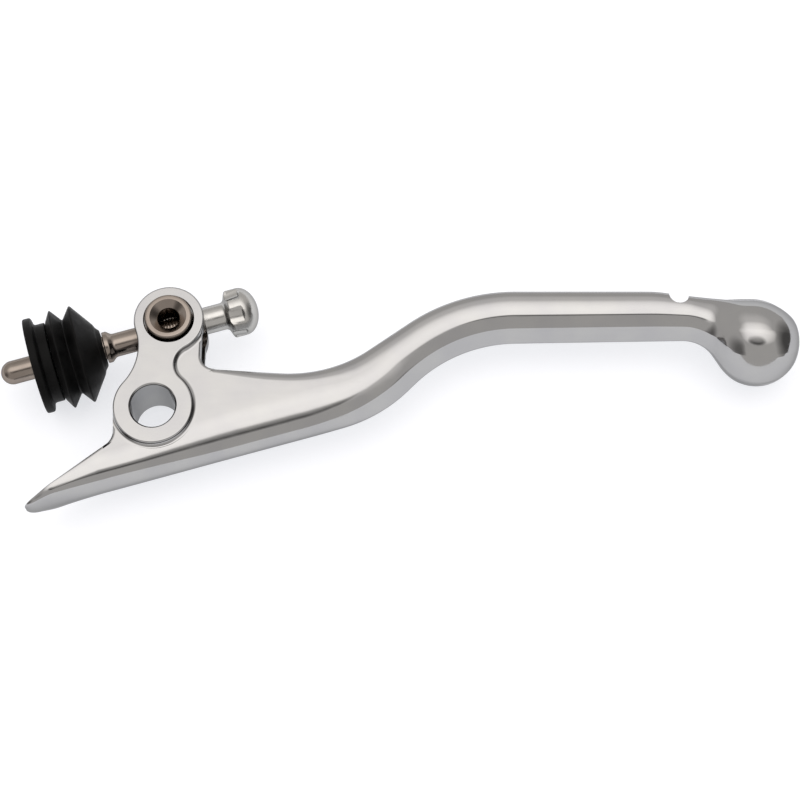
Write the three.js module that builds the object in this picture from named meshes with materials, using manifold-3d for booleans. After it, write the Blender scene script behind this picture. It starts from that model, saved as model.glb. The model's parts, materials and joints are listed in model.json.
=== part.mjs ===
// Hydraulic clutch lever of a motorcycle: a polished forged lever with a pivot boss and a forked ear,
// a trunnion barrel in the ear, and a threaded push rod with its dust boot and adjuster knob.
// Millimetres. X runs from the push rod to the ball end, Y from the finger side to the handlebar side
// and Z is up, along the pivot. Shapes are made about the pivot, at mid thickness, and the whole
// lever is then set on its lowest point, centred in plan.

import * as THREE from "three";
import { mergeVertices } from "three/addons/utils/BufferGeometryUtils.js";
import Module from "manifold-3d";

// ---- lever forging ----
const BLADE_HALF = 6.4; // half thickness of the blade and of the web
const BOSS_HALF = 7.8; // half thickness of the raised figure-of-eight pads
const PIVOT_BORE_R = 5.5;
const PIVOT_CHAMFER = 0.45;
const BOSS_R = 9.8; // pad round the pivot bore
const EAR_R = 8.75; // pad round the trunnion bore
const LEFT_WAIST_R = 14.4; // hollow between the two pads, push-rod side
const RIGHT_WAIST_R = 5.1; // hollow between the two pads, blade side
const PAD_BEVEL = 0.4;
const WEB_EDGE_X = 11.2; // straight edge of the web behind the ear
const WEB_FILLET = 3.5;
const TAIL_WEB = { corner: -5, end: [-12.2, -9.9] }; // hollow between the boss and the tail
const SLOT_HALF = 4.1; // half height of the fork slot
const SLOT_FLOOR_Y = 13.5;
const NOSE_DEPTH = 4.2; // the finger side is an arc this deep
const NOSE_HALF_ANGLE = THREE.MathUtils.degToRad(66);
const BACK_CORNER = 3; // rounding of the handlebar-side corners
const TIP_TAPER = 8; // the tail thins over this length
const TIP_HALF = 3.6; // half thickness of the tail's tip
const NECK_START_X = 133;
const NECK_END_X = 147;
const BREAK_NOTCH = { x: 131.2, y: 30.7, radius: 3.1 };

// The two long edges of the lever in plan: a start, a heading in degrees and legs of
// [length, turn in degrees], where a leg with a turn is an arc.
const FRONT_EDGE = {
  start: [-30.6, -25.1],
  heading: 16,
  legs: [[80.7, 0], [18.3, 29.6], [3.3, 0], [28.1, -44.6], [42.6, 0], [9.5, -58], [2.9, 0], [27.8, 148]],
};
const TAIL_BACK_EDGE = { start: [-32.4, -25.5], heading: 38, legs: [[57, 0]] };
const BACK_EDGE = {
  start: [13, 10.8],
  heading: -3,
  legs: [
    [18.3, 0], [22.8, 38.8], [12.4, 0], [29, -35.8], [33, 0],
    [5, -9], [3.5, 0], [5, 9], [13.5, 0], [6, -26], [5, -18], [6, -50],
  ],
};

// ---- push rod line: distances along it are measured from the barrel's axis ----
const EAR_CENTRE = [3, 23.1];
const ROD_RISE = 0.4; // the rod line sits this far above the blade's mid plane
const ROD_HEADING = THREE.MathUtils.degToRad(16.4);
const FIT_GAP = 0.3;
const BARREL_R = 5.85;
const BARREL_HALF = 9.1;
const BARREL_CHAMFER = 0.5;
const BARREL_HOLE_R = 2.75;
const COUNTERSINK_R = 4.4;
const COUNTERSINK_DEPTH = 2.1;
const ROD_R = 3;
const THREAD_R = 2.85; // mean radius of the M6 x 0.75 thread
const TIP_CENTRE = -41;
const SHOULDER_R = 4;
const SHOULDER_START = -17.3;
const SHOULDER_END = -16.2;
const SHOULDER_CONE_END = -15;
const THREAD_START = -6.6;
const THREAD_END = 9.3;
const SPIGOT_R = 2;
const SPIGOT_END = 17;

// ---- dust boot ----
const FLANGE_FACE = -35.4;
const FLANGE_BACK = -33.4;
const FLANGE_R = 12.2;
const MOUTH_R = 10.1;
const MOUTH_END = -30.3;
const BELLOWS_RIDGES = [
  [-28.4, 12.8],
  [-25.8, 9.4],
  [-23.2, 12.7],
];
const BELLOWS_END = -18.8;
const BELLOWS_END_R = 6.4;
const BOOT_WALL = 2.2;
const NECK_OUTER_R = 5.6;
const NECK_LIP_R = 4.6;
const NECK_BACK = -17.6;

// ---- adjuster knob ----
const KNOB_NECK_R = 3.45;
const KNOB_NECK_START = 9.6;
const KNOB_HEAD_START = 14.8;
const KNOB_RIM_END = 18.2;
const KNOB_END = 22.5;
const KNOB_R = 6.1;
const KNOB_FLUTES = 6;
const FLUTE_R = 3.2;
const FLUTE_CENTRE_R = 8.2;

const wasm = await Module();
wasm.setup();

const COLOURS = {
  polishedAluminium: { color: 0xd6d5d3, roughness: 0.12, metalness: 1 },
  nickelSteel: { color: 0x9a8f84, roughness: 0.25, metalness: 1 },
  brightSteel: { color: 0xb9bab6, roughness: 0.2, metalness: 1 },
  blackRubber: { color: 0x131314, roughness: 0.6, metalness: 0 },
};

// ---- geometry helpers ----

function toSolid(geometry) {
  geometry.deleteAttribute("normal");
  geometry.deleteAttribute("uv");
  const merged = mergeVertices(geometry, 1e-4);
  const mesh = new wasm.Mesh({
    numProp: 3,
    vertProperties: new Float32Array(merged.attributes.position.array),
    triVerts: new Uint32Array(merged.index.array),
  });
  return new wasm.Manifold(mesh);
}

function toGeometry(solid) {
  const mesh = solid.getMesh();
  const geometry = new THREE.BufferGeometry();
  geometry.setAttribute("position", new THREE.BufferAttribute(mesh.vertProperties, 3));
  geometry.setIndex(new THREE.BufferAttribute(mesh.triVerts, 1));
  geometry.computeVertexNormals();
  return geometry;
}

// A closed skin over rings of points, with a fan of triangles on each end.
function loft(rings) {
  const count = rings[0].length;
  const positions = rings.flat().flatMap((point) => [point.x, point.y, point.z]);
  const indices = [];
  for (let ring = 0; ring < rings.length - 1; ring += 1) {
    for (let k = 0; k < count; k += 1) {
      const a = ring * count + k;
      const b = ring * count + ((k + 1) % count);
      indices.push(a, a + count, b, b, a + count, b + count);
    }
  }
  const last = (rings.length - 1) * count;
  for (let k = 1; k < count - 1; k += 1) {
    indices.push(0, k, k + 1);
    indices.push(last, last + k + 1, last + k);
  }
  const geometry = new THREE.BufferGeometry();
  geometry.setAttribute("position", new THREE.Float32BufferAttribute(positions, 3));
  geometry.setIndex(indices);
  return geometry;
}

// A solid of revolution about the local Z axis from [radius, height] pairs.
function revolve(profile, segments = 32) {
  const points = profile.map(([radius, height]) => new THREE.Vector2(radius, height));
  const geometry = new THREE.LatheGeometry(points, segments);
  geometry.rotateX(Math.PI / 2);
  return geometry;
}

// A plate of the given outline, centred on Z = 0, with bevelled edges.
function plate(shape, half, bevel = 0, curveSegments = 16) {
  const geometry = new THREE.ExtrudeGeometry(shape, {
    depth: 2 * (half - bevel),
    bevelEnabled: bevel > 0,
    bevelThickness: bevel,
    bevelSize: bevel,
    bevelOffset: -bevel,
    bevelSegments: 1,
    curveSegments,
  });
  geometry.translate(0, 0, bevel - half);
  return geometry;
}

// A cutter for a straight bore along Z with a chamfer at each face.
function boreCutter([x, y], radius, half, chamfer) {
  const over = 1;
  const profile = [
    [0, -half - over],
    [radius + chamfer + over, -half - over],
    [radius, -half + chamfer],
    [radius, half - chamfer],
    [radius + chamfer + over, half + over],
    [0, half + over],
  ];
  return revolve(profile, 40).translate(x, y, 0);
}

function smoothStep(value, start, end) {
  return THREE.MathUtils.smoothstep(value, start, end);
}

// ---- plan outlines ----

// Points along an edge of straight and curved legs, each with its heading.
function tracePath({ start, heading, legs }, step = 2.5) {
  let [x, y] = start;
  let angle = THREE.MathUtils.degToRad(heading);
  const points = [{ x, y, angle }];
  for (const [length, turnDegrees] of legs) {
    const turn = THREE.MathUtils.degToRad(turnDegrees);
    const steps = Math.ceil(Math.max(length / step, Math.abs(turnDegrees) / 12));
    for (let k = 0; k < steps; k += 1) {
      angle += turn / steps / 2;
      x += (length / steps) * Math.cos(angle);
      y += (length / steps) * Math.sin(angle);
      angle += turn / steps / 2;
      points.push({ x, y, angle });
    }
  }
  return points;
}

// Distance from a point along a direction to a traced edge.
function distanceToEdge(point, direction, edge) {
  let nearest = Infinity;
  for (let k = 0; k < edge.length - 1; k += 1) {
    const a = edge[k];
    const b = edge[k + 1];
    const ex = b.x - a.x;
    const ey = b.y - a.y;
    const cross = direction.x * ey - direction.y * ex;
    const along = ((a.x - point.x) * ey - (a.y - point.y) * ex) / cross;
    const share = ((a.x - point.x) * direction.y - (a.y - point.y) * direction.x) / cross;
    if (share >= -1e-9 && share <= 1 + 1e-9 && along > 0) {
      nearest = Math.min(nearest, along);
    }
  }
  return nearest;
}

// Centre of the arc that joins two circles in a hollow on one side (+1 left, -1 right).
function hollowCentre(bossRadius, earRadius, hollowRadius, side) {
  const [ex, ey] = EAR_CENTRE;
  const span = Math.hypot(ex, ey);
  const reach = bossRadius + hollowRadius;
  const earReach = earRadius + hollowRadius;
  const along = (span * span + reach * reach - earReach * earReach) / (2 * span);
  const aside = side * Math.sqrt(reach * reach - along * along);
  return [(ex * along - ey * aside) / span, (ey * along + ex * aside) / span];
}

// The figure-of-eight round the two bores.
function figureEight() {
  const [ex, ey] = EAR_CENTRE;
  const left = hollowCentre(BOSS_R, EAR_R, LEFT_WAIST_R, 1);
  const right = hollowCentre(BOSS_R, EAR_R, RIGHT_WAIST_R, -1);
  const angleTo = (from, to) => Math.atan2(to[1] - from[1], to[0] - from[0]);
  const shape = new THREE.Shape();
  shape.absarc(0, 0, BOSS_R, angleTo([0, 0], left), angleTo([0, 0], right) + 2 * Math.PI, false);
  shape.absarc(...right, RIGHT_WAIST_R, angleTo(right, [0, 0]), angleTo(right, [ex, ey]), true);
  shape.absarc(ex, ey, EAR_R, angleTo([ex, ey], right), angleTo([ex, ey], left), false);
  shape.absarc(...left, LEFT_WAIST_R, angleTo(left, [ex, ey]), angleTo(left, [0, 0]), true);
  return shape;
}

// The web that carries the fork from the blade's back edge up behind the ear.
function webShape() {
  const [ex, ey] = EAR_CENTRE;
  const bladeTop = 10.4;
  const shape = new THREE.Shape();
  shape.moveTo(0, 0);
  shape.lineTo(WEB_EDGE_X + WEB_FILLET, 0);
  shape.lineTo(WEB_EDGE_X + WEB_FILLET, bladeTop);
  shape.absarc(WEB_EDGE_X + WEB_FILLET, bladeTop + WEB_FILLET, WEB_FILLET, -Math.PI / 2, -Math.PI, true);
  shape.lineTo(WEB_EDGE_X, ey);
  shape.lineTo(ex, ey);
  shape.closePath();
  return shape;
}

// The web that fills the corner between the pivot boss and the back edge of the tail.
function tailWebShape() {
  const shape = new THREE.Shape();
  const left = 0.05 - BOSS_R;
  shape.moveTo(0, 0);
  shape.lineTo(left, 0);
  shape.lineTo(left, TAIL_WEB.corner);
  shape.quadraticCurveTo(left, TAIL_WEB.end[1] * 0.78, ...TAIL_WEB.end);
  shape.lineTo(0, TAIL_WEB.end[1]);
  shape.closePath();
  return shape;
}

// ---- lever ----

// One cross-section of the lever: an arc on the finger side, a flat top and bottom and two
// rounded corners at the back, blended towards an ellipse by "roundness".
function leverSection({ point, direction, depth, half, roundness }) {
  const noseSteps = 8;
  const cornerSteps = 3;
  const flatSteps = 3;
  const nose = Math.min(NOSE_DEPTH, depth * 0.5);
  const corner = Math.min(BACK_CORNER, depth * 0.3);
  const backEdge = depth - corner;
  const flat = [];
  for (let k = 0; k <= noseSteps; k += 1) {
    const angle = NOSE_HALF_ANGLE * ((2 * k) / noseSteps - 1);
    const back = (1 - Math.cos(angle)) / (1 - Math.cos(NOSE_HALF_ANGLE));
    flat.push([nose * back, (half * Math.sin(angle)) / Math.sin(NOSE_HALF_ANGLE)]);
  }
  for (let k = 1; k < flatSteps; k += 1) {
    flat.push([THREE.MathUtils.lerp(nose, backEdge, k / flatSteps), half]);
  }
  for (let k = 0; k <= cornerSteps; k += 1) {
    const angle = (1 - k / cornerSteps) * (Math.PI / 2);
    flat.push([backEdge + corner * Math.cos(angle), half - corner + corner * Math.sin(angle)]);
  }
  flat.push([depth, 0]);
  for (let k = 0; k <= cornerSteps; k += 1) {
    const angle = (k / cornerSteps) * (Math.PI / 2);
    flat.push([backEdge + corner * Math.cos(angle), corner - half - corner * Math.sin(angle)]);
  }
  for (let k = 1; k < flatSteps; k += 1) {
    flat.push([THREE.MathUtils.lerp(backEdge, nose, k / flatSteps), -half]);
  }
  return flat.map(([across, z]) => {
    const angle = Math.atan2(z / half, across / (depth / 2) - 1);
    const roundAcross = (depth / 2) * (1 + Math.cos(angle));
    const roundZ = half * Math.sin(angle);
    const q = THREE.MathUtils.lerp(across, roundAcross, roundness);
    const height = THREE.MathUtils.lerp(z, roundZ, roundness);
    return new THREE.Vector3(point.x + q * direction.x, point.y + q * direction.y, height);
  });
}

function leverRail() {
  const front = tracePath(FRONT_EDGE);
  const tailBack = tracePath(TAIL_BACK_EDGE);
  const back = tailBack.concat(tracePath(BACK_EDGE));
  const sections = [];
  for (const point of front) {
    const crosswise = { x: -Math.sin(point.angle), y: Math.cos(point.angle) };
    const inBall = point.x > NECK_START_X;
    const direction = inBall ? { x: 0, y: 1 } : crosswise;
    const depth = distanceToEdge(point, direction, back);
    if (!Number.isFinite(depth)) {
      continue;
    }
    const fromTip = Math.hypot(point.x - front[0].x, point.y - front[0].y);
    const flatHalf = THREE.MathUtils.lerp(TIP_HALF, BLADE_HALF, smoothStep(fromTip, 0, TIP_TAPER));
    const toBall = smoothStep(point.x, NECK_START_X, NECK_END_X);
    sections.push({
      point,
      direction,
      depth,
      half: THREE.MathUtils.lerp(flatHalf, depth / 2, toBall),
      roundness: toBall,
    });
  }
  return loft(sections.map(leverSection));
}

function buildLever() {
  let solid = toSolid(leverRail());
  solid = solid.add(toSolid(plate(webShape(), BLADE_HALF)));
  solid = solid.add(toSolid(plate(tailWebShape(), BLADE_HALF)));
  solid = solid.add(toSolid(plate(figureEight(), BOSS_HALF, PAD_BEVEL)));
  const [ex, ey] = EAR_CENTRE;
  const slotHeight = EAR_R + ey;
  const slot = new THREE.BoxGeometry(4 * EAR_R, slotHeight, 2 * SLOT_HALF);
  slot.translate(ex, SLOT_FLOOR_Y + slotHeight / 2, 0);
  const notch = revolve([[0, -BOSS_HALF], [BREAK_NOTCH.radius, -BOSS_HALF],
    [BREAK_NOTCH.radius, BOSS_HALF], [0, BOSS_HALF]], 24);
  notch.translate(BREAK_NOTCH.x, BREAK_NOTCH.y, 0);
  for (const cutter of [
    boreCutter([0, 0], PIVOT_BORE_R, BOSS_HALF, PIVOT_CHAMFER),
    boreCutter(EAR_CENTRE, BARREL_R + FIT_GAP, BOSS_HALF, PIVOT_CHAMFER),
    slot,
    notch,
  ]) {
    solid = solid.subtract(toSolid(cutter));
  }
  return toGeometry(solid);
}

// ---- pieces on the push rod line ----

function buildBarrel() {
  const outside = [
    [0, -BARREL_HALF],
    [BARREL_R - BARREL_CHAMFER, -BARREL_HALF],
    [BARREL_R, -BARREL_HALF + BARREL_CHAMFER],
    [BARREL_R, BARREL_HALF - BARREL_CHAMFER],
    [BARREL_R - BARREL_CHAMFER, BARREL_HALF],
    [0, BARREL_HALF],
  ];
  const inside = [
    [0, -BARREL_HALF - 1],
    [COUNTERSINK_R, -BARREL_HALF - 1],
    [COUNTERSINK_R, -BARREL_HALF],
    [BARREL_HOLE_R, -BARREL_HALF + COUNTERSINK_DEPTH],
    [BARREL_HOLE_R, BARREL_HALF - COUNTERSINK_DEPTH],
    [COUNTERSINK_R, BARREL_HALF],
    [COUNTERSINK_R, BARREL_HALF + 1],
    [0, BARREL_HALF + 1],
  ];
  const crossRadius = THREAD_R + FIT_GAP;
  const reach = 2 * BARREL_R;
  const cross = revolve([[0, -reach], [crossRadius, -reach], [crossRadius, reach], [0, reach]], 28);
  cross.rotateY(Math.PI / 2);
  const solid = toSolid(revolve(outside, 40)).subtract(toSolid(revolve(inside, 28)));
  return toGeometry(solid.subtract(toSolid(cross)));
}

// Revolved pieces of the rod line lie along local X.
function revolveAlongX(profile, segments) {
  return revolve(profile, segments).rotateY(Math.PI / 2);
}

function buildPushRod() {
  const tipSteps = 6;
  const profile = [];
  for (let k = 0; k <= tipSteps; k += 1) {
    const angle = (k / tipSteps) * (Math.PI / 2);
    profile.push([ROD_R * Math.sin(angle), TIP_CENTRE - ROD_R * Math.cos(angle)]);
  }
  profile[0][0] = 0;
  profile.push(
    [ROD_R, SHOULDER_START],
    [SHOULDER_R, SHOULDER_START],
    [SHOULDER_R, SHOULDER_END],
    [ROD_R, SHOULDER_CONE_END],
    [ROD_R, THREAD_START],
    [THREAD_R, THREAD_START],
    [THREAD_R, THREAD_END],
    [SPIGOT_R, THREAD_END],
    [SPIGOT_R, SPIGOT_END],
    [0, SPIGOT_END],
  );
  return revolveAlongX(profile, 28);
}

function buildBootMouth() {
  const bore = ROD_R + FIT_GAP;
  return revolveAlongX([
    [bore, FLANGE_FACE],
    [FLANGE_R, FLANGE_FACE],
    [FLANGE_R, FLANGE_BACK],
    [MOUTH_R, FLANGE_BACK],
    [MOUTH_R, MOUTH_END],
    [bore, MOUTH_END],
    [bore, FLANGE_FACE],
  ], 40);
}

function buildBootBellows() {
  const start = [MOUTH_END + FIT_GAP, MOUTH_R];
  const end = [BELLOWS_END, BELLOWS_END_R];
  const outer = [start, ...BELLOWS_RIDGES, end].map(([along, radius]) => [radius, along]);
  const inner = outer.map(([radius, along]) => [radius - BOOT_WALL, along]).reverse();
  return revolveAlongX([...outer, ...inner, outer[0]], 40);
}

function buildBootNeck() {
  const bore = ROD_R + FIT_GAP;
  const start = BELLOWS_END + FIT_GAP;
  return revolveAlongX([
    [bore, start],
    [NECK_OUTER_R, start],
    [NECK_LIP_R, NECK_BACK],
    [bore, NECK_BACK],
    [bore, start],
  ], 32);
}

function buildKnob() {
  const domeSteps = 6;
  const bore = SPIGOT_R + FIT_GAP;
  const boreEnd = SPIGOT_END + FIT_GAP;
  const profile = [
    [0, boreEnd],
    [bore, boreEnd],
    [bore, KNOB_NECK_START],
    [KNOB_NECK_R, KNOB_NECK_START],
    [KNOB_NECK_R, KNOB_HEAD_START],
    [KNOB_R, KNOB_HEAD_START],
  ];
  for (let k = 0; k <= domeSteps; k += 1) {
    const angle = (k / domeSteps) * (Math.PI / 2);
    const along = KNOB_RIM_END + (KNOB_END - KNOB_RIM_END) * Math.sin(angle);
    profile.push([KNOB_R * Math.cos(angle), along]);
  }
  profile[profile.length - 1][0] = 0;
  let solid = toSolid(revolve(profile, 36));
  for (let k = 0; k < KNOB_FLUTES; k += 1) {
    const flute = revolve([[0, KNOB_HEAD_START - 1], [FLUTE_R, KNOB_HEAD_START - 1],
      [FLUTE_R, KNOB_RIM_END], [0, KNOB_RIM_END + FLUTE_R]], 20);
    const angle = (k / KNOB_FLUTES) * 2 * Math.PI;
    flute.translate(FLUTE_CENTRE_R * Math.cos(angle), FLUTE_CENTRE_R * Math.sin(angle), 0);
    solid = solid.subtract(toSolid(flute));
  }
  return toGeometry(solid).rotateY(Math.PI / 2);
}

// ---- assembly ----

function named(name, geometry, colour) {
  const mesh = new THREE.Mesh(geometry, new THREE.MeshStandardMaterial(COLOURS[colour]));
  mesh.name = name;
  return mesh;
}

const rodLine = new THREE.Group();
rodLine.position.set(...EAR_CENTRE, ROD_RISE);
rodLine.rotation.z = ROD_HEADING;
rodLine.add(
  named("trunnion_barrel", buildBarrel(), "nickelSteel"),
  named("push_rod", buildPushRod(), "nickelSteel"),
  named("boot_mouth", buildBootMouth(), "blackRubber"),
  named("boot_bellows", buildBootBellows(), "blackRubber"),
  named("boot_neck", buildBootNeck(), "blackRubber"),
  named("adjuster_knob", buildKnob(), "brightSteel"),
);

const lever = new THREE.Group();
lever.add(named("lever_forging", buildLever(), "polishedAluminium"), rodLine);

// Stand the assembly on Z = 0 with its plan centred on the origin.
lever.updateMatrixWorld(true);
const extent = new THREE.Box3().setFromObject(lever, true);
const centre = extent.getCenter(new THREE.Vector3());
lever.position.set(-centre.x, -centre.y, -extent.min.z);

export default lever;
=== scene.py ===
"""Looks of a motorcycle clutch lever: the forging, trunnion barrel, push rod, dust boot and knob.

Shapes are worked out in millimetres, about the pivot bore's centre or along the push rod from the
barrel's axis, and are then set in the frame, in metres.
"""

import json
import math

import bmesh
import bpy
import numpy as np
from mathutils import Matrix, Vector


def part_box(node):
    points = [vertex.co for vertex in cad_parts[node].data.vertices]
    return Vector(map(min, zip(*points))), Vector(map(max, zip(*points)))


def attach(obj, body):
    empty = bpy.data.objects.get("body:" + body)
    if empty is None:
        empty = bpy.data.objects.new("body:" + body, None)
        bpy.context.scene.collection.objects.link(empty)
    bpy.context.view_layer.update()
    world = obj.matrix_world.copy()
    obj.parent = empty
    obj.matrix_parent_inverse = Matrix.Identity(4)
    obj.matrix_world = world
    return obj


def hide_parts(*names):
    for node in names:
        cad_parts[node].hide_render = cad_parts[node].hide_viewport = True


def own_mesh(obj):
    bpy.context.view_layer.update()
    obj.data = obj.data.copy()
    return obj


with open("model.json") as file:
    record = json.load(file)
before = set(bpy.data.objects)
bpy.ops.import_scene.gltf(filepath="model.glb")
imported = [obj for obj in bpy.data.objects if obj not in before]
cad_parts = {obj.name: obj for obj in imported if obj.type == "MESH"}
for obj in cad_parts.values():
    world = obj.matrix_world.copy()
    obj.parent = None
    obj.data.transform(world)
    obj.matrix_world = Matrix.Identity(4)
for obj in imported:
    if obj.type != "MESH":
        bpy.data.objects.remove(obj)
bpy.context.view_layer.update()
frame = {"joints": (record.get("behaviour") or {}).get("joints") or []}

MM = 0.001

# ---- lever forging, millimetres about the pivot at mid thickness ----
BLADE_HALF = 6.4
BOSS_HALF = 7.8
PIVOT_BORE_R = 5.5
EAR_BORE_R = 6.15
PIVOT_BORE_EDGE = 0.45
EAR_BORE_EDGE = 0.25
BOSS_R = 9.8
EAR_R = 8.75
LEFT_WAIST_R = 14.4
RIGHT_WAIST_R = 5.1
EAR_CENTRE = (3.0, 23.1)
PAD_EDGE = 0.45
PAD_FOOT = 0.95
WEB_LEFT_X = 0.05 - BOSS_R
WEB_EDGE_X = 11.2
WEB_FILLET = 3.5
WEB_ROUND = 0.8
TAIL_WEB_CORNER = -6.5
TAIL_WEB_END = (-12.6, -10.8)
TAIL_BACK_HEADING = 38
SLOT_HALF = 4.1
SLOT_FLOOR_Y = 13.5

# Half of the section is two runs of arcs, from the finger-side nose up to the level top and from there
# down to the back wall. Each run has the surface's tilt from level where its arcs meet, in degrees, and
# the arcs' radii.
FRONT_TILTS = (90, 62, 55.5, 30, 26, 11, 0)
TAIL_FRONT_RADII = (6.9, 6.9, 2.7, 2.7, 4.8, 15)
BLADE_FRONT_RADII = (6.3, 6.3, 4.9, 4.9, 9.6, 21)
FINGER_FRONT_RADII = (0.8, 41, 1.2, 40, 2.5, 16)
BACK_TILTS = (0, 8, 38, 90)
WEB_BACK_RADII = (1.0, 1.0, 0.4)
BLADE_BACK_RADII = (4.0, 4.0, 0.5)
FINGER_BACK_RADII = (11, 4.9, 0.5)
TAIL_TO_BLADE_X = (-8.0, 22.0)
WEB_TO_BLADE_X = (14.0, 34.0)
BLADE_TO_FINGER_X = (38.0, 60.0)
BACK_INSET = 0.5  # the crisp back corner stands this far inside the plan's edge
TIP_TAPER = 8.0
TIP_HALF = 3.6
TIP_ROUND = 2.4
TIP_LEAST = 0.1  # how much of the section is left at the very tip
NECK_START_X = 133.0
NECK_END_X = 147.0
BREAK_NOTCH = (131.2, 30.6, 2.5)  # x, y and radius

# The long edges in plan: a start, a heading in degrees and legs of (length, turn in degrees).
FRONT_EDGE = (
    (-30.6, -25.1), 16,
    [(80.7, 0), (18.3, 29.6), (3.3, 0), (28.1, -44.6), (42.1, 0), (9.5, -58), (2.9, 0), (27.8, 148)],
)
TAIL_BACK_EDGE = ((-32.4, -25.5), TAIL_BACK_HEADING, [(57, 0)])
BACK_EDGE = (
    (13, 10.8), -3,
    [
        (18.3, 0), (22.8, 38.8), (12.4, 0), (29, -35.8), (33, 0),
        (5, -9), (3.5, 0), (5, 9), (13.0, 0), (6, -26), (5, -18), (6, -50),
    ],
)

# ---- push rod line, millimetres from the barrel's axis ----
ROD_RISE = 0.4
BARREL_R = 5.85
BARREL_HALF = 9.1
BARREL_EDGE = 0.55
ROD_R = 3.0
COLLAR_R = 4.0
THREAD_R = 2.85
THREAD_PITCH = 0.75
THREAD_DEPTH = 0.24
THREAD_START = -6.6
THREAD_END = 9.3
THREAD_CLEARANCE = 0.3
SPIGOT_R = 2.0
SPIGOT_END = 17.0
SPIGOT_CLEARANCE = 0.3
TIP_END = -44.0
BOOT_BORE_R = 3.3
NECK_BACK = -17.6
KNOB_NECK_START = 8.3
KNOB_NECK_R = 3.45
KNOB_HEAD_START = 14.8
KNOB_RIM_END = 18.2
KNOB_END = 22.5
KNOB_R = 6.1
KNOB_FLUTES = 6
FLUTE_R = 3.2
FLUTE_CENTRE_R = 8.2

# ---- detail of round shapes ----
RING_SEGMENTS = 96
SMOOTH_RING_SEGMENTS = 128
KNOB_SEGMENTS = 180
CUTTER_OVERSHOOT = 1.0

# ---- places in the frame ----
barrel_low, barrel_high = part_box("trunnion_barrel")
BARREL_CENTRE = (barrel_low + barrel_high) / 2
PIVOT = BARREL_CENTRE - Vector((*EAR_CENTRE, ROD_RISE)) * MM
ROD_AXIS = Vector(next(j for j in frame["joints"] if j["name"] == "adjuster_turn")["axis"]).normalized()
ROD_HEADING = math.atan2(ROD_AXIS.y, ROD_AXIS.x)
LEVER_PLACE = Matrix.Translation(PIVOT) @ Matrix.Scale(MM, 4)
ROD_TURN = Matrix.Rotation(ROD_HEADING, 4, "Z")
ROD_PLACE = Matrix.Translation(BARREL_CENTRE) @ ROD_TURN @ Matrix.Scale(MM, 4)


def smooth_step(value, start, end):
    """Rises smoothly from 0 at start to 1 at end."""
    share = min(max((value - start) / (end - start), 0.0), 1.0)
    return share * share * (3 - 2 * share)


def lerp(a, b, share):
    return a + (b - a) * share


# ---- mesh building ----

def loft_object(name, rings, closed=False):
    """A skin over rings of points, capped at both ends, or joined end to end if closed."""
    count = len(rings[0])
    vertices = [tuple(point) for ring in rings for point in ring]
    faces = []
    ring_count = len(rings)
    for ring in range(ring_count if closed else ring_count - 1):
        here = ring * count
        there = ((ring + 1) % ring_count) * count
        for k in range(count):
            after = (k + 1) % count
            faces.append((here + k, there + k, there + after, here + after))
    if not closed:
        faces.append(tuple(range(count)))
        faces.append(tuple(reversed(range((ring_count - 1) * count, ring_count * count))))
    mesh = bpy.data.meshes.new(name)
    mesh.from_pydata(vertices, [], faces)
    work = bmesh.new()
    work.from_mesh(mesh)
    bmesh.ops.remove_doubles(work, verts=work.verts, dist=1e-5)
    bmesh.ops.recalc_face_normals(work, faces=work.faces)
    work.to_mesh(mesh)
    work.free()
    obj = bpy.data.objects.new(name, mesh)
    bpy.context.scene.collection.objects.link(obj)
    return obj


def boolean(base, tool, operation):
    """Joins or cuts base with a tool, and removes the tool."""
    modifier = base.modifiers.new("boolean", "BOOLEAN")
    modifier.operation = operation
    modifier.solver = "MANIFOLD"
    modifier.object = tool
    graph = bpy.context.evaluated_depsgraph_get()
    result = bpy.data.meshes.new_from_object(base.evaluated_get(graph))
    base.modifiers.clear()
    base.data = result
    bpy.data.objects.remove(tool)
    return base


def finish_piece(obj, place, body, slot, material, *nodes, sharp_angle=32):
    """Sets a piece in the frame, smooths it up to an angle, gives it its material, puts it under its
    body's empty and hides the parts it stands in for.
    """
    obj.data.transform(place)
    obj.data.shade_smooth()
    obj.data.set_sharp_from_angle(angle=math.radians(sharp_angle))
    weighted = obj.modifiers.new("weighted_normals", "WEIGHTED_NORMAL")
    weighted.keep_sharp = True
    graph = bpy.context.evaluated_depsgraph_get()
    result = bpy.data.meshes.new_from_object(obj.evaluated_get(graph))
    obj.modifiers.clear()
    obj.data = result
    obj.data.materials.clear()
    obj.data.materials.append(material)
    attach(obj, body)
    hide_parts(*nodes)
    return obj


def rounded(corners, steps=5):
    """A polyline through (along, radius, rounding) corners, each rounded by its own reach."""
    points = []
    last = len(corners) - 1
    for k, (along, radius, rounding) in enumerate(corners):
        corner = np.array([along, radius], float)
        if rounding == 0 or k in (0, last):
            points.append(corner)
            continue
        before = np.array(corners[k - 1][:2], float) - corner
        after = np.array(corners[k + 1][:2], float) - corner
        reach = min(rounding, 0.48 * np.linalg.norm(before), 0.48 * np.linalg.norm(after))
        start = corner + before / np.linalg.norm(before) * reach
        end = corner + after / np.linalg.norm(after) * reach
        for step in range(steps + 1):
            t = step / steps
            points.append((1 - t) ** 2 * start + 2 * t * (1 - t) * corner + t * t * end)
    return points


def turned(name, profile, segments=RING_SEGMENTS, closed=False, radius_at=None):
    """A body turned about local X from (along, radius) points; radius_at may vary it round the axis."""
    rings = []
    for along, radius in profile:
        ring = []
        for k in range(segments):
            angle = 2 * math.pi * k / segments
            r = radius_at(along, radius, angle) if radius_at else radius
            ring.append((along, r * math.cos(angle), r * math.sin(angle)))
        rings.append(ring)
    return loft_object(name, rings, closed)


def upright(obj):
    """Turns a body made about X so that it stands along Z."""
    obj.data.transform(Matrix.Rotation(-math.pi / 2, 4, "Y"))
    return obj


# ---- lever outlines ----

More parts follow.
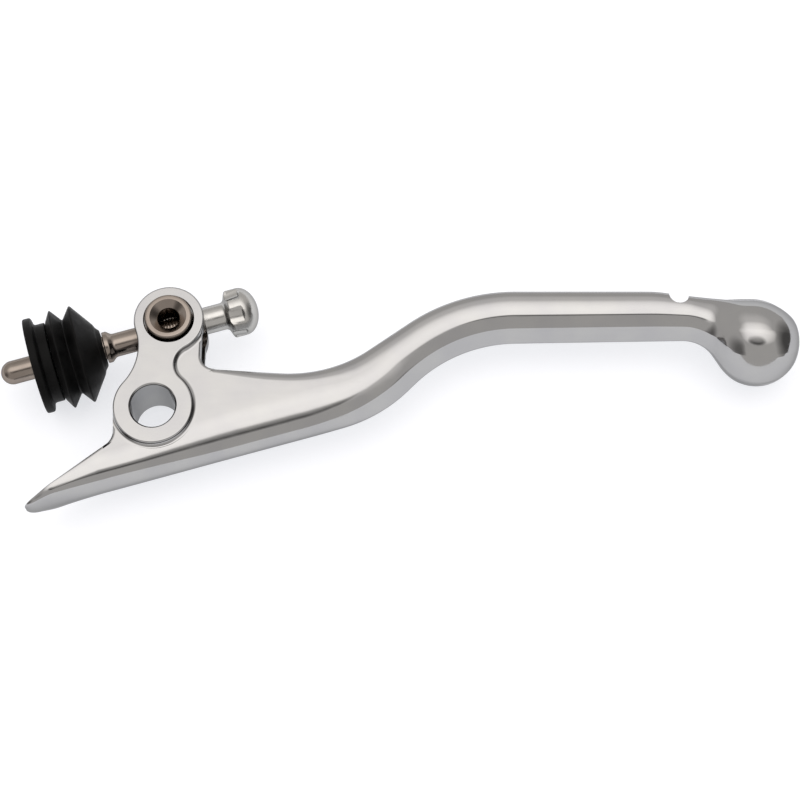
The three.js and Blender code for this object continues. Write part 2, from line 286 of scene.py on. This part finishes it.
def trace_path(path, step=0.5):
    """Points along an edge of straight and curved legs, as rows of x, y and heading."""
    (x, y), heading, legs = path
    angle = math.radians(heading)
    points = [(x, y, angle)]
    for length, turn_degrees in legs:
        turn = math.radians(turn_degrees)
        steps = math.ceil(max(length / step, abs(turn_degrees) / 3))
        for _ in range(steps):
            angle += turn / steps / 2
            x += length / steps * math.cos(angle)
            y += length / steps * math.sin(angle)
            angle += turn / steps / 2
            points.append((x, y, angle))
    return np.array(points)


def distance_to_edge(point, direction, edge):
    """Distance from a point along a direction to a traced edge, or None."""
    a = edge[:-1, :2]
    leg = edge[1:, :2] - a
    offset = a - point
    cross = direction[0] * leg[:, 1] - direction[1] * leg[:, 0]
    along = (offset[:, 0] * leg[:, 1] - offset[:, 1] * leg[:, 0]) / cross
    share = (offset[:, 0] * direction[1] - offset[:, 1] * direction[0]) / cross
    hits = along[(share >= -1e-9) & (share <= 1 + 1e-9) & (along > 0)]
    return hits.min() if len(hits) else None


def arc(centre, radius, start, end, steps, side=1):
    """Points on an arc from one heading to another, to the left (side 1) or to the right (side -1)."""
    sweep = side * ((side * (end - start)) % (2 * math.pi) or 2 * math.pi)
    angles = start + sweep * np.linspace(0, 1, steps + 1)
    return [(centre[0] + radius * math.cos(a), centre[1] + radius * math.sin(a)) for a in angles]


def hollow_centre(boss_radius, ear_radius, hollow_radius, side):
    """Centre of the arc that joins two circles in a hollow on one side, +1 left or -1 right."""
    ex, ey = EAR_CENTRE
    span = math.hypot(ex, ey)
    reach = boss_radius + hollow_radius
    along = (span ** 2 + reach ** 2 - (ear_radius + hollow_radius) ** 2) / (2 * span)
    aside = side * math.sqrt(reach ** 2 - along ** 2)
    return ((ex * along - ey * aside) / span, (ey * along + ex * aside) / span)


def figure_eight(offset=0.0):
    """The outline round the two bores, moved out by an offset."""
    left = hollow_centre(BOSS_R, EAR_R, LEFT_WAIST_R, 1)
    right = hollow_centre(BOSS_R, EAR_R, RIGHT_WAIST_R, -1)

    def heading(a, b):
        return math.atan2(b[1] - a[1], b[0] - a[0])

    pivot = (0.0, 0.0)
    ear = EAR_CENTRE
    runs = (
        (pivot, BOSS_R + offset, left, right, 96, 1),
        (right, RIGHT_WAIST_R - offset, pivot, ear, 32, -1),
        (ear, EAR_R + offset, right, left, 80, 1),
        (left, LEFT_WAIST_R - offset, ear, pivot, 32, -1),
    )
    points = []
    for centre, radius, first, last, steps, side in runs:
        points += arc(centre, radius, heading(centre, first), heading(centre, last), steps, side)[:-1]
    return points


def at_height(outline, z):
    return [(x, y, z) for x, y in outline]


def quarter_turn(steps):
    """Angles from 0 to 90 degrees."""
    return [math.radians(90 * k / steps) for k in range(steps + 1)]


def mirrored_levels(upper):
    """Adds the lower half to a list of (offset, height) levels."""
    return [(offset, -z) for offset, z in reversed(upper)] + upper


def pad_object():
    """The raised figure-of-eight faces with rounded edges."""
    foot_of_edge = BOSS_HALF - PAD_EDGE
    levels = mirrored_levels([
        (PAD_EDGE * (math.cos(a) - 1), foot_of_edge + PAD_EDGE * math.sin(a))
        for a in quarter_turn(6)
    ])
    return loft_object("pads", [at_height(figure_eight(offset), z) for offset, z in levels])


def pad_foot_object():
    """The fillet at the foot of the pads, kept to where the pads stand on the blade and the web."""
    levels = mirrored_levels([
        (PAD_FOOT * (1 - math.sin(a)), BLADE_HALF + PAD_FOOT * (1 - math.cos(a)))
        for a in quarter_turn(8)
    ])
    foot = loft_object("foot", [at_height(figure_eight(offset), z) for offset, z in levels])
    ex, ey = EAR_CENTRE
    far = 4 * BOSS_R
    region = [
        (-far, -far), TAIL_WEB_END, (WEB_LEFT_X, TAIL_WEB_CORNER), (WEB_LEFT_X, 0), (0, 0), (ex, ey),
        (WEB_EDGE_X, ey), (WEB_EDGE_X, 0), (far, 0), (far, -far),
    ]
    mask = loft_object("mask", [at_height(region, -BOSS_HALF), at_height(region, BOSS_HALF)])
    return boolean(foot, mask, "INTERSECT")


def unit_rows(vectors):
    return vectors / np.linalg.norm(vectors, axis=1)[:, None]


def rounded_plate(name, outline, half, edge):
    """A plate with rounded edges; its outline moves to its left as the edge rounds over."""
    points = np.array(outline)
    ahead = unit_rows(np.roll(points, -1, axis=0) - points)
    behind = unit_rows(points - np.roll(points, 1, axis=0))
    tangent = unit_rows(ahead + behind)
    inward = np.column_stack([-tangent[:, 1], tangent[:, 0]])
    levels = mirrored_levels([
        (edge * (1 - math.cos(a)), half - edge + edge * math.sin(a))
        for a in quarter_turn(6)
    ])
    return loft_object(name, [at_height(points + inward * inset, z) for inset, z in levels])


def web_object():
    """The plate between the blade and the ear, with a hollow corner where it meets the blade."""
    ex, ey = EAR_CENTRE
    blade_top = 10.4
    corner = (WEB_EDGE_X + WEB_FILLET, blade_top + WEB_FILLET)
    outline = [(0, 0), (WEB_EDGE_X + WEB_FILLET, 0)]
    outline += arc(corner, WEB_FILLET, -math.pi / 2, math.pi, 24, -1)
    outline += [(WEB_EDGE_X, ey), (ex, ey)]
    return rounded_plate("web", outline, BLADE_HALF, WEB_ROUND)


def tail_web_object():
    """The plate between the boss and the tail, in a curve that runs into the tail's back edge."""
    start = np.array([WEB_LEFT_X, TAIL_WEB_CORNER])
    end = np.array(TAIL_WEB_END)
    rise = (WEB_LEFT_X - end[0]) * math.tan(math.radians(TAIL_BACK_HEADING))
    control = np.array([WEB_LEFT_X, end[1] + rise])
    outline = [(0, 0), (WEB_LEFT_X, 0)]
    for t in np.linspace(0, 1, 17):
        outline.append(tuple((1 - t) ** 2 * start + 2 * t * (1 - t) * control + t * t * end))
    inside_y = -8.0
    outline += [(-6.0, inside_y), (0, inside_y)]
    return rounded_plate("tail_web", outline, BLADE_HALF, WEB_ROUND)


# ---- lever blade ----

def arc_run(tilts, radii, side):
    """Points along a run of arcs in the section; side -1 climbs to the level top and 1 falls from it."""
    q, z = 0.0, 0.0
    points = [(q, z)]
    for start, end, radius in zip(tilts, tilts[1:], radii):
        steps = max(3, round(abs(end - start) / 3))
        start, end = math.radians(start), math.radians(end)
        for angle in np.linspace(start, end, steps + 1)[1:]:
            points.append((
                q + side * radius * (math.sin(angle) - math.sin(start)),
                z + radius * (math.cos(angle) - math.cos(start)),
            ))
        q, z = points[-1]
    return np.array(points)


def lever_section(point, direction, depth, half, roundness, front_radii, back_radii, tip):
    """One cross-section, blended towards an ellipse by roundness and shrunk to the back edge by tip."""
    front = arc_run(FRONT_TILTS, front_radii, -1)
    front *= half / front[-1, 1]
    back = arc_run(BACK_TILTS, back_radii, 1) + (0, half)
    squeeze = min(1.0, depth / (front[-1, 0] + back[-1, 0]))
    front[:, 0] *= squeeze
    back[:, 0] = depth - (back[-1, 0] - back[:, 0]) * squeeze
    flat = [(lerp(front[-1, 0], back[0, 0], t), half) for t in np.linspace(0, 1, 7)[1:-1]]
    wall = [(depth, back[-1, 1] * 0.5), (depth, 0.0)]
    upper = [*map(tuple, front), *flat, *map(tuple, back), *wall]
    lower = [(across, -z) for across, z in reversed(upper[1:-1])]
    ring = []
    for across, z in upper + lower:
        angle = math.atan2(z / half, across / (depth / 2) - 1)
        q = lerp(across, depth / 2 * (1 + math.cos(angle)), roundness)
        q = depth - (depth - q) * tip
        height = lerp(z, half * math.sin(angle), roundness) * lerp(1, tip, 0.6)
        ring.append((point[0] + q * direction[0], point[1] + q * direction[1], height))
    return ring


def blend_radii(x, *steps):
    """Radii that change along the lever: the first ones, then stretches of x and the radii after each."""
    radii = np.array(steps[0], float)
    for stretch, after in zip(steps[1::2], steps[2::2]):
        radii = lerp(radii, np.array(after, float), smooth_step(x, *stretch))
    return radii


def blade_object():
    """The blade, tail and ball end as one skin, with a section at each point of the front edge."""
    front = trace_path(FRONT_EDGE)
    back = np.vstack([trace_path(TAIL_BACK_EDGE, 0.25), trace_path(BACK_EDGE, 0.25)])
    rings = []
    for x, y, angle in front:
        in_ball = x > NECK_START_X
        direction = (0.0, 1.0) if in_ball else (-math.sin(angle), math.cos(angle))
        depth = distance_to_edge(np.array([x, y]), direction, back)
        if depth is None:
            continue
        from_tip = math.hypot(x - front[0][0], y - front[0][1])
        flat_half = lerp(TIP_HALF, BLADE_HALF, smooth_step(from_tip, 0, TIP_TAPER))
        to_ball = smooth_step(x, NECK_START_X, NECK_END_X)
        half = lerp(flat_half, depth / 2, to_ball)
        inset = BACK_INSET * (1 - to_ball) * smooth_step(from_tip, 0, TIP_TAPER)
        front_radii = blend_radii(
            x,
            TAIL_FRONT_RADII, TAIL_TO_BLADE_X,
            BLADE_FRONT_RADII, BLADE_TO_FINGER_X,
            FINGER_FRONT_RADII,
        )
        back_radii = blend_radii(
            x,
            WEB_BACK_RADII, WEB_TO_BLADE_X,
            BLADE_BACK_RADII, BLADE_TO_FINGER_X,
            FINGER_BACK_RADII,
        )
        tip = max(math.sqrt(1 - (1 - min(from_tip / TIP_ROUND, 1)) ** 2), TIP_LEAST)
        rings.append(lever_section(
            (x, y), direction, depth - inset, half, to_ball, front_radii, back_radii, tip,
        ))
    return loft_object("lever", rings)


def bore_cutter(centre, radius, edge):
    """A cutter for a bore along Z with a rounded mouth at each face."""
    over = CUTTER_OVERSHOOT
    mouth = radius + edge
    corners = [
        (-BOSS_HALF - over, 0, 0), (-BOSS_HALF - over, mouth + over, 0), (-BOSS_HALF, mouth, 0),
        (-BOSS_HALF + edge, radius, edge), (BOSS_HALF - edge, radius, edge),
        (BOSS_HALF, mouth, 0), (BOSS_HALF + over, mouth + over, 0), (BOSS_HALF + over, 0, 0),
    ]
    cutter = upright(turned("bore", rounded(corners), SMOOTH_RING_SEGMENTS))
    cutter.data.transform(Matrix.Translation((*centre, 0)))
    return cutter


def slot_cutter():
    ex, ey = EAR_CENTRE
    reach = 2 * EAR_R
    corners = [
        (ex - reach, SLOT_FLOOR_Y), (ex + reach, SLOT_FLOOR_Y),
        (ex + reach, ey + reach), (ex - reach, ey + reach),
    ]
    return loft_object("slot", [at_height(corners, -SLOT_HALF), at_height(corners, SLOT_HALF)])


def notch_cutter():
    x, y, radius = BREAK_NOTCH
    outline = arc((x, y), radius, 0, 2 * math.pi, 64)[:-1]
    return loft_object("notch", [at_height(outline, -BOSS_HALF), at_height(outline, BOSS_HALF)])


def lever_piece(material):
    lever = blade_object()
    for part in (web_object(), tail_web_object(), pad_foot_object(), pad_object()):
        boolean(lever, part, "UNION")
    for cutter in (
        bore_cutter((0, 0), PIVOT_BORE_R, PIVOT_BORE_EDGE),
        bore_cutter(EAR_CENTRE, EAR_BORE_R, EAR_BORE_EDGE),
        slot_cutter(),
        notch_cutter(),
    ):
        boolean(lever, cutter, "DIFFERENCE")
    lever.name = "polished_lever"
    return finish_piece(lever, LEVER_PLACE, "lever", "polished_aluminium", material, "lever_forging")


# ---- pieces on the push rod line ----

def barrel_piece(material):
    """The barrel with a countersunk window at each end and a plain hole across it for the rod's thread.
    """
    bore = 2.7
    mouth = 4.6
    countersink = 1.5
    over = CUTTER_OVERSHOOT
    side = [
        (BARREL_HALF, 0, 0), (BARREL_HALF, BARREL_R, BARREL_EDGE),
        (-BARREL_HALF, BARREL_R, BARREL_EDGE), (-BARREL_HALF, 0, 0),
    ]
    barrel = upright(turned("barrel", rounded(side), SMOOTH_RING_SEGMENTS))
    inside = [
        (BARREL_HALF + over, 0, 0), (BARREL_HALF + over, mouth + over, 0), (BARREL_HALF, mouth, 0.2),
        (BARREL_HALF - countersink, bore, 0.25), (countersink - BARREL_HALF, bore, 0.25),
        (-BARREL_HALF, mouth, 0.2), (-BARREL_HALF - over, mouth + over, 0), (-BARREL_HALF - over, 0, 0),
    ]
    boolean(barrel, upright(turned("inside", rounded(inside))), "DIFFERENCE")
    cross_r = THREAD_R + THREAD_CLEARANCE
    cross = turned("cross", [(-2 * BARREL_R, cross_r), (2 * BARREL_R, cross_r)])
    boolean(barrel, cross, "DIFFERENCE")
    barrel.name = "turned_barrel"
    return finish_piece(barrel, ROD_PLACE, "trunnion", "nickel_steel", material, "trunnion_barrel")


def thread_radius(along, radius, angle):
    """Turns the thread's mean radius into a ridge that winds round the rod and fades out at both ends."""
    if not THREAD_START < along < THREAD_END:
        return radius
    fade_in = smooth_step(along, THREAD_START, THREAD_START + 0.6)
    fade_out = 1 - smooth_step(along, THREAD_END - 0.8, THREAD_END)
    phase = (along / THREAD_PITCH - angle / (2 * math.pi)) % 1
    ridge = min(max(2 * abs(2 * phase - 1) - 0.4, 0), 1) - 0.5
    return radius + THREAD_DEPTH * ridge * fade_in * fade_out


def rod_piece(material):
    """The rod: a round tip, a shank with a collar, the thread and the spigot that holds the knob."""
    tip = [
        (TIP_END + ROD_R * (1 - math.cos(a)), ROD_R * math.sin(a))
        for a in np.linspace(0, math.pi / 2, 17)
    ]
    shank = [
        (tip[-1][0], ROD_R, 0), (-17.3, ROD_R, 0.15), (-17.3, COLLAR_R, 0.25), (-16.2, COLLAR_R, 0.25),
        (-15.0, ROD_R, 0.5), (THREAD_START - 0.5, ROD_R, 0.3), (THREAD_START, THREAD_R, 0.2),
        (THREAD_START + 0.05, THREAD_R, 0),
    ]
    samples_per_turn = 10
    count = round((THREAD_END - THREAD_START) / THREAD_PITCH * samples_per_turn)
    thread = [(x, THREAD_R) for x in np.linspace(THREAD_START + 0.1, THREAD_END, count)]
    spigot = [(THREAD_END, SPIGOT_R), (SPIGOT_END, SPIGOT_R), (SPIGOT_END, 0)]
    profile = tip + rounded(shank)[1:] + thread + spigot
    rod = turned("plated_push_rod", profile, radius_at=thread_radius)
    return finish_piece(rod, ROD_PLACE, "rod", "nickel_steel", material, "push_rod")


def boot_mouth_piece(material):
    """The boot's lip and the collar behind it, which slide on the rod."""
    corners = [
        (-35.4, 5.0, 0), (-35.4, 12.2, 0.5), (-33.4, 12.2, 0.5), (-32.9, 10.1, 0.6), (-30.3, 10.1, 0.3),
        (-30.3, BOOT_BORE_R, 0.3), (-35.4, BOOT_BORE_R, 0.4), (-35.4, 5.0, 0),
    ]
    mouth = turned("rubber_boot_mouth", rounded(corners)[:-1], SMOOTH_RING_SEGMENTS, closed=True)
    return finish_piece(
        mouth, ROD_PLACE, "boot_lip", "boot_rubber", material, "boot_mouth", sharp_angle=60,
    )


def boot_bellows_piece(material):
    """The two folds and the neck, a hollow skin that flattens towards the neck."""
    outside = [
        (-30.0, 9.2, 0), (-30.0, 10.1, 0.2), (-28.4, 12.8, 0.45), (-25.8, 9.4, 0.5),
        (-23.3, 12.7, 0.55), (-18.8, 6.4, 0.3), (-18.5, 5.6, 0.3), (NECK_BACK, 4.6, 0.3),
        (NECK_BACK, BOOT_BORE_R, 0.15),
    ]
    inside = [
        (-19.0, BOOT_BORE_R, 0.4), (-23.2, 10.4, 0.5), (-25.8, 7.2, 0.5), (-28.4, 10.6, 0.5),
        (-30.0, 8.0, 0.2), (-30.0, 9.2, 0),
    ]
    profile = rounded(outside + inside)[:-1]
    bellows = turned("rubber_bellows", profile, SMOOTH_RING_SEGMENTS, closed=True)
    piece = finish_piece(
        bellows, ROD_PLACE, "boot", "boot_rubber", material,
        "boot_bellows", "boot_neck", sharp_angle=60,
    )
    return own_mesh(piece)


def knob_radius(along, radius, angle):
    """Cuts the finger flutes into the knob's head."""
    if along < KNOB_HEAD_START:
        return radius
    pitch = 2 * math.pi / KNOB_FLUTES
    from_flute = (angle + pitch / 2) % pitch - pitch / 2
    aside = FLUTE_CENTRE_R * math.sin(from_flute)
    flute_r = FLUTE_R * (1 - smooth_step(along, KNOB_RIM_END - 0.6, KNOB_RIM_END + 2.2))
    if abs(aside) >= flute_r:
        return radius
    reach = FLUTE_CENTRE_R * math.cos(from_flute) - math.sqrt(flute_r ** 2 - aside ** 2)
    return min(radius, reach)


def knob_piece(material):
    """The knob, hollow round the rod's spigot: a neck, a fluted head and a domed end."""
    bore_r = SPIGOT_R + SPIGOT_CLEARANCE
    bore_end = SPIGOT_END + SPIGOT_CLEARANCE
    corners = [
        (KNOB_NECK_START, bore_r, 0), (KNOB_NECK_START, KNOB_NECK_R, 0.3),
        (KNOB_HEAD_START - 0.7, KNOB_NECK_R, 0.8), (KNOB_HEAD_START, 5.4, 0.5),
        (KNOB_HEAD_START + 0.4, KNOB_R, 0.4), (KNOB_RIM_END, KNOB_R, 0.1),
    ]
    dome = [
        (KNOB_RIM_END + (KNOB_END - KNOB_RIM_END) * math.sin(a), KNOB_R * math.cos(a))
        for a in np.linspace(0, math.pi / 2, 25)
    ]
    head = rounded(corners)
    body = [(x, KNOB_R) for x in np.linspace(head[-1][0], KNOB_RIM_END, 12)[1:]]
    bore = [(bore_end, 0), (bore_end, bore_r)]
    knob = turned("fluted_knob", bore + head + body + dome[1:], KNOB_SEGMENTS, radius_at=knob_radius)
    return finish_piece(knob, ROD_PLACE, "rod", "bright_steel", material, "adjuster_knob")


# ---- materials ----

def new_material(name):
    """A material with its node tree and its main shader."""
    material = bpy.data.materials.new(name)
    material.use_nodes = True
    tree = material.node_tree
    shader = tree.nodes["Principled BSDF"]
    return material, tree, shader


def noise(tree, scale, stretch=(1, 1, 1), turn=0.0, detail=3.0):
    """A noise value over the piece's own coordinates, in cells per metre, stretched along its axes."""
    coordinates = tree.nodes.new("ShaderNodeTexCoord")
    mapping = tree.nodes.new("ShaderNodeMapping")
    mapping.inputs["Scale"].default_value = stretch
    mapping.inputs["Rotation"].default_value = (0, 0, turn)
    texture = tree.nodes.new("ShaderNodeTexNoise")
    texture.inputs["Scale"].default_value = scale
    texture.inputs["Detail"].default_value = detail
    tree.links.new(coordinates.outputs["Object"], mapping.inputs["Vector"])
    tree.links.new(mapping.outputs["Vector"], texture.inputs["Vector"])
    return texture.outputs["Fac"]


def spread(tree, value, low, high):
    """Maps a noise value's middle range onto low to high."""
    node = tree.nodes.new("ShaderNodeMapRange")
    node.inputs["From Min"].default_value = 0.3
    node.inputs["From Max"].default_value = 0.7
    node.inputs["To Min"].default_value = low
    node.inputs["To Max"].default_value = high
    tree.links.new(value, node.inputs["Value"])
    return node.outputs["Result"]


def tint(tree, value, dark, light):
    """A colour between dark and light."""
    node = tree.nodes.new("ShaderNodeMix")
    node.data_type = "RGBA"
    node.inputs["A"].default_value = (*dark, 1)
    node.inputs["B"].default_value = (*light, 1)
    tree.links.new(value, node.inputs["Factor"])
    return node.outputs["Result"]


def bump(tree, value, distance, below=None):
    """A bumped normal, on top of another one if it is given."""
    node = tree.nodes.new("ShaderNodeBump")
    node.inputs["Distance"].default_value = distance
    tree.links.new(value, node.inputs["Height"])
    if below is not None:
        tree.links.new(below, node.inputs["Normal"])
    return node.outputs["Normal"]


def metal(name, dark, light, roughness, streak_turn, streak_stretch, ripple):
    """Polished or turned metal: cloudy colour, polishing streaks in the gloss and a faint ripple."""
    edge_tint = 0.5
    material, tree, shader = new_material(name)
    shader.inputs["Metallic"].default_value = 1.0
    shader.inputs["Specular Tint"].default_value = (edge_tint, edge_tint, edge_tint, 1)
    clouds = noise(tree, 120)
    streaks = noise(tree, 900, streak_stretch, streak_turn, 2)
    waves = noise(tree, 160, detail=1)
    tree.links.new(tint(tree, spread(tree, clouds, 0, 1), dark, light), shader.inputs["Base Color"])
    tree.links.new(spread(tree, streaks, *roughness), shader.inputs["Roughness"])
    normal = bump(tree, streaks, ripple * 0.14)
    normal = bump(tree, waves, ripple, normal)
    tree.links.new(normal, shader.inputs["Normal"])
    return material


def rubber():
    material, tree, shader = new_material("moulded_rubber")
    shader.inputs["Specular IOR Level"].default_value = 0.1
    clouds = noise(tree, 300)
    grain = noise(tree, 6000, detail=2)
    colour = tint(tree, spread(tree, clouds, 0, 1), (0.002, 0.002, 0.002), (0.006, 0.006, 0.006))
    tree.links.new(colour, shader.inputs["Base Color"])
    tree.links.new(spread(tree, clouds, 0.42, 0.62), shader.inputs["Roughness"])
    tree.links.new(bump(tree, grain, 0.00003), shader.inputs["Normal"])
    return material


def floor_material():
    material, tree, shader = new_material("pale_floor")
    colour = tint(tree, spread(tree, noise(tree, 4), 0, 1), (0.42, 0.42, 0.43), (0.44, 0.44, 0.45))
    tree.links.new(colour, shader.inputs["Base Color"])
    shader.inputs["Roughness"].default_value = 0.9
    shader.inputs["Specular IOR Level"].default_value = 0.1
    shader.inputs["Emission Color"].default_value = (0.95, 0.965, 1.0, 1)
    shader.inputs["Emission Strength"].default_value = 0.69
    return material


# ---- stage ----

def make_floor():
    size = 6.0
    corners = [(-size, -size, 0), (size, -size, 0), (size, size, 0), (-size, size, 0)]
    mesh = bpy.data.meshes.new("floor")
    mesh.from_pydata(corners, [], [(0, 1, 2, 3)])
    mesh.materials.append(floor_material())
    floor = bpy.data.objects.new("floor", mesh)
    bpy.context.scene.collection.objects.link(floor)


def make_fill_light():
    """A wide soft light from above that the metal doesn't reflect."""
    light = bpy.data.lights.new("fill", "AREA")
    light.shape = "RECTANGLE"
    light.size = 3.0
    light.size_y = 3.0
    light.energy = 8.0
    obj = bpy.data.objects.new("fill", light)
    obj.location = (0, 0, 2.0)
    obj.visible_glossy = False
    bpy.context.scene.collection.objects.link(obj)


def make_world():
    """A grey room with bright and dark areas.

    Each area has a direction, a factor under 1 that widens it sideways, the angles from its middle where
    it has faded out and where it is full, in degrees, and a gain.
    """
    areas = [
        ((0, 0.035, 1), 0.52, 32, 1, 1.28),
        ((0, 0.53, 0.85), 0.7, 28, 4, 0.30),
        ((0, -0.34, 0.94), 0.45, 11, 6, -0.93),
        ((1, 0.05, 0.15), 1, 40, 15, -0.57),
        ((-0.81, -0.50, 0.31), 1, 26, 8, -0.48),
    ]
    world = bpy.data.worlds.new("studio")
    world.use_nodes = True
    nodes, links = world.node_tree.nodes, world.node_tree.links
    background = nodes["Background"]
    background.inputs["Color"].default_value = (1.0, 0.965, 0.94, 1)
    coordinates = nodes.new("ShaderNodeTexCoord")
    total = nodes.new("ShaderNodeValue").outputs[0]
    total.default_value = 0.69
    for direction, sideways, fade_out, fade_in, gain in areas:
        widen = nodes.new("ShaderNodeVectorMath")
        widen.operation = "MULTIPLY"
        widen.inputs[1].default_value = (sideways, 1, 1)
        links.new(coordinates.outputs["Generated"], widen.inputs[0])
        level = nodes.new("ShaderNodeVectorMath")
        level.operation = "NORMALIZE"
        links.new(widen.outputs["Vector"], level.inputs[0])
        facing = nodes.new("ShaderNodeVectorMath")
        facing.operation = "DOT_PRODUCT"
        facing.inputs[1].default_value = Vector(direction).normalized()
        links.new(level.outputs["Vector"], facing.inputs[0])
        fade = nodes.new("ShaderNodeMapRange")
        fade.inputs["From Min"].default_value = math.cos(math.radians(fade_out))
        fade.inputs["From Max"].default_value = math.cos(math.radians(fade_in))
        fade.inputs["To Max"].default_value = gain
        links.new(facing.outputs["Value"], fade.inputs["Value"])
        plus = nodes.new("ShaderNodeMath")
        plus.operation = "ADD"
        links.new(total, plus.inputs[0])
        links.new(fade.outputs["Result"], plus.inputs[1])
        total = plus.outputs[0]
    links.new(total, background.inputs["Strength"])
    bpy.context.scene.world = world


def make_camera():
    """The camera looks down at the lever's middle from the finger side."""
    distance = 0.5
    elevation = math.radians(69)
    aim = PIVOT + Vector((60.8, 4.3, 0)) * MM
    camera = bpy.data.cameras.new("camera")
    camera.lens = 90
    camera.sensor_width = 36
    camera.clip_start = 0.01
    obj = bpy.data.objects.new("camera", camera)
    obj.location = aim + distance * Vector((0, -math.cos(elevation), math.sin(elevation)))
    obj.rotation_euler = (math.pi / 2 - elevation, 0, 0)
    bpy.context.scene.collection.objects.link(obj)
    bpy.context.scene.camera = obj


bpy.context.scene.view_settings.view_transform = "Standard"
make_camera()
make_world()
make_fill_light()
make_floor()

aluminium = metal(
    "polished_aluminium", dark=(0.39, 0.39, 0.395), light=(0.42, 0.42, 0.415), roughness=(0.06, 0.13),
    streak_turn=0.3, streak_stretch=(0.08, 1, 1), ripple=0.00002,
)
nickel = metal(
    "nickel_plate", dark=(0.24, 0.205, 0.18), light=(0.315, 0.275, 0.24), roughness=(0.12, 0.22),
    streak_turn=ROD_HEADING, streak_stretch=(1, 0.05, 0.05), ripple=0.00001,
)
bright_steel = metal(
    "bright_steel", dark=(0.46, 0.455, 0.44), light=(0.54, 0.535, 0.515), roughness=(0.16, 0.28),
    streak_turn=ROD_HEADING, streak_stretch=(1, 0.05, 0.05), ripple=0.00001,
)
black_rubber = rubber()

lever_piece(aluminium)
barrel_piece(nickel)
rod_piece(nickel)
boot_mouth_piece(black_rubber)
boot_bellows_piece(black_rubber)
knob_piece(bright_steel)
